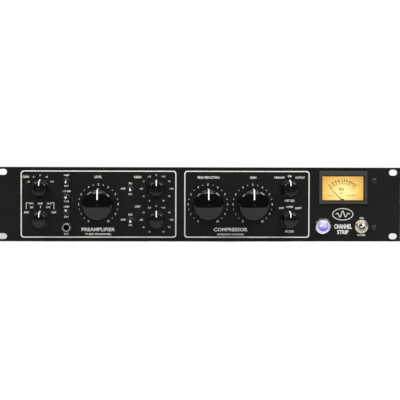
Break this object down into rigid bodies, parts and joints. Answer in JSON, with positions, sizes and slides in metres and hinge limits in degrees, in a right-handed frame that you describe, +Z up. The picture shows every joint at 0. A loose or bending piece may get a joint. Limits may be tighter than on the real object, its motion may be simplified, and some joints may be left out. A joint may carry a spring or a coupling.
{
  "type": "rack compressor",
  "caption": "Rack channel with valve preamplifier, equaliser and levelling compressor, lit needle meter, rotary controls, toggles and a jewel lamp.",
  "frame": {"origin": "centre of the four rack slots on the back face of the front panel", "axes": "+X to the right seen from the front, -Y out of the front, +Z up"},
  "size_m": [0.4826, 0.3383, 0.0882],
  "materials": {
    "black_panel": "satin black powder coat",
    "case_steel": "zinc-plated sheet",
    "screw_steel": "bright machine screw",
    "black_screw": "black oxide",
    "black_knob": "polished black moulding",
    "black_moulding": "satin black moulding",
    "bright_plating": "bright nickel plate",
    "satin_nickel": "satin nickel plate",
    "window_clear": "clear",
    "dial_amber": "lit amber scale",
    "jewel_violet": "faceted, lit violet",
    "needle_black": "black enamel",
    "switch_body": "moulded switch body",
    "board_green": "green solder mask",
    "core_steel": "laminated core and wrapped coil",
    "can_aluminium": "drawn can"
  },
  "bodies": {
    "case": {"front_panel": "black_panel", "sub_panel": "case_steel", "base_plate": "case_steel", "top_cover": "case_steel", "left_side": "case_steel", "right_side": "case_steel", "rear_panel": "case_steel", "chassis_screws": "screw_steel", "panel_screws": "black_screw", "meter_case": "black_moulding", "meter_window": "window_clear", "meter_dial": "dial_amber", "meter_movement": "switch_body", "pilot_lamps": "window_clear", "jewel_bezel": "bright_plating", "jewel_lens": "jewel_violet", "toggle_switches": "switch_body", "panel_nuts": "black_screw", "power_switch": "switch_body", "power_nut": "satin_nickel", "instrument_jack": "bright_plating", "potentiometers": "switch_body", "rotary_switches": "switch_body", "control_nuts": "bright_plating", "input_jacks": "black_moulding", "socket_cores": "black_moulding", "output_jack": "black_moulding", "mains_inlet": "black_moulding", "connector_pins": "satin_nickel", "main_board": "board_green", "board_pillars": "satin_nickel", "valve_sockets": "switch_body", "valves": "window_clear", "optical_cell": "can_aluminium", "mains_transformer": "case_steel", "audio_transformers": "core_steel", "filter_capacitors": "can_aluminium"},
    "level": {"level_knob": "black_knob", "level_spindle": "bright_plating"},
    "reduction": {"reduction_knob": "black_knob", "reduction_spindle": "bright_plating"},
    "output_gain": {"output_gain_knob": "black_knob", "output_gain_spindle": "bright_plating"},
    "input_gain": {"input_gain_knob": "black_knob"},
    "input_select": {"input_select_knob": "black_knob"},
    "high_boost": {"high_boost_knob": "black_knob"},
    "low_boost": {"low_boost_knob": "black_knob"},
    "meter_select": {"meter_select_knob": "black_knob"},
    "mode_select": {"mode_select_knob": "black_knob"},
    "supply_lever": {"supply_lever": "bright_plating"},
    "pad_lever": {"pad_lever": "bright_plating"},
    "phase_lever": {"phase_lever": "bright_plating"},
    "high_lever": {"high_lever": "bright_plating"},
    "low_lever": {"low_lever": "bright_plating"},
    "power_lever": {"power_lever": "bright_plating"},
    "needle": {"meter_needle": "needle_black"},
    "mic_latch": {"mic_latch": "black_moulding"},
    "line_latch": {"line_latch": "black_moulding"},
    "fuse_drawer": {"fuse_drawer": "black_moulding", "mains_fuse": "bright_plating"}
  },
  "joints": [
    {"name": "level_turn", "type": "hinge", "parent": "case", "child": "level", "pos_m": [-0.1193, -0.01, 0], "axis": [0, 1, 0], "range_deg": [-150, 150]},
    {"name": "reduction_turn", "type": "hinge", "parent": "case", "child": "reduction", "pos_m": [0.0109, -0.01, 0], "axis": [0, 1, 0], "range_deg": [-150, 150]},
    {"name": "output_gain_turn", "type": "hinge", "parent": "case", "child": "output_gain", "pos_m": [0.0643, -0.01, 0], "axis": [0, 1, 0], "range_deg": [-150, 150]},
    {"name": "input_gain_turn", "type": "hinge", "parent": "case", "child": "input_gain", "pos_m": [-0.1883, -0.01, 0.0185], "axis": [0, 1, 0], "range_deg": [-60, 60]},
    {"name": "input_select_turn", "type": "hinge", "parent": "case", "child": "input_select", "pos_m": [-0.1883, -0.01, -0.0185], "axis": [0, 1, 0], "range_deg": [-60, 60]},
    {"name": "high_boost_turn", "type": "hinge", "parent": "case", "child": "high_boost", "pos_m": [-0.0505, -0.01, 0.0185], "axis": [0, 1, 0], "range_deg": [-150, 150]},
    {"name": "low_boost_turn", "type": "hinge", "parent": "case", "child": "low_boost", "pos_m": [-0.0505, -0.01, -0.0185], "axis": [0, 1, 0], "range_deg": [-150, 150]},
    {"name": "meter_select_turn", "type": "hinge", "parent": "case", "child": "meter_select", "pos_m": [0.1083, -0.01, 0.0185], "axis": [0, 1, 0], "range_deg": [-30, 30]},
    {"name": "mode_select_turn", "type": "hinge", "parent": "case", "child": "mode_select", "pos_m": [0.1083, -0.01, -0.0185], "axis": [0, 1, 0], "range_deg": [-30, 30]},
    {"name": "supply_toggle", "type": "hinge", "parent": "case", "child": "supply_lever", "pos_m": [-0.157, -0.0052, 0.02775], "axis": [-1, 0, 0], "range_deg": [0, 24]},
    {"name": "pad_toggle", "type": "hinge", "parent": "case", "child": "pad_lever", "pos_m": [-0.157, -0.0052, 0.00925], "axis": [-1, 0, 0], "range_deg": [0, 24]},
    {"name": "phase_toggle", "type": "hinge", "parent": "case", "child": "phase_lever", "pos_m": [-0.157, -0.0052, -0.00925], "axis": [1, 0, 0], "range_deg": [0, 24]},
    {"name": "high_toggle", "type": "hinge", "parent": "case", "child": "high_lever", "pos_m": [-0.0813, -0.0052, 0.0185], "axis": [-1, 0, 0], "range_deg": [0, 24]},
    {"name": "low_toggle", "type": "hinge", "parent": "case", "child": "low_lever", "pos_m": [-0.0813, -0.0052, -0.0185], "axis": [-1, 0, 0], "range_deg": [0, 24]},
    {"name": "power_toggle", "type": "hinge", "parent": "case", "child": "power_lever", "pos_m": [0.1946, -0.004, -0.0263], "axis": [1, 0, 0], "range_deg": [0, 22]},
    {"name": "needle_swing", "type": "hinge", "parent": "case", "child": "needle", "pos_m": [0.1723, 0, 0.0043], "axis": [0, 1, 0], "range_deg": [0, 90], "stiffness_Nm_per_rad": 0.00002, "springref_deg": -11.46},
    {"name": "mic_latch_press", "type": "slide", "parent": "case", "child": "mic_latch", "axis": [0, -1, 0], "range_m": [0, 0.0015], "stiffness_N_per_m": 800, "springref_m": -0.0005},
    {"name": "line_latch_press", "type": "slide", "parent": "case", "child": "line_latch", "axis": [0, -1, 0], "range_m": [0, 0.0015], "stiffness_N_per_m": 800, "springref_m": -0.0005},
    {"name": "fuse_drawer_slide", "type": "slide", "parent": "case", "child": "fuse_drawer", "axis": [0, 1, 0], "range_m": [0, 0.022]}
  ]
}
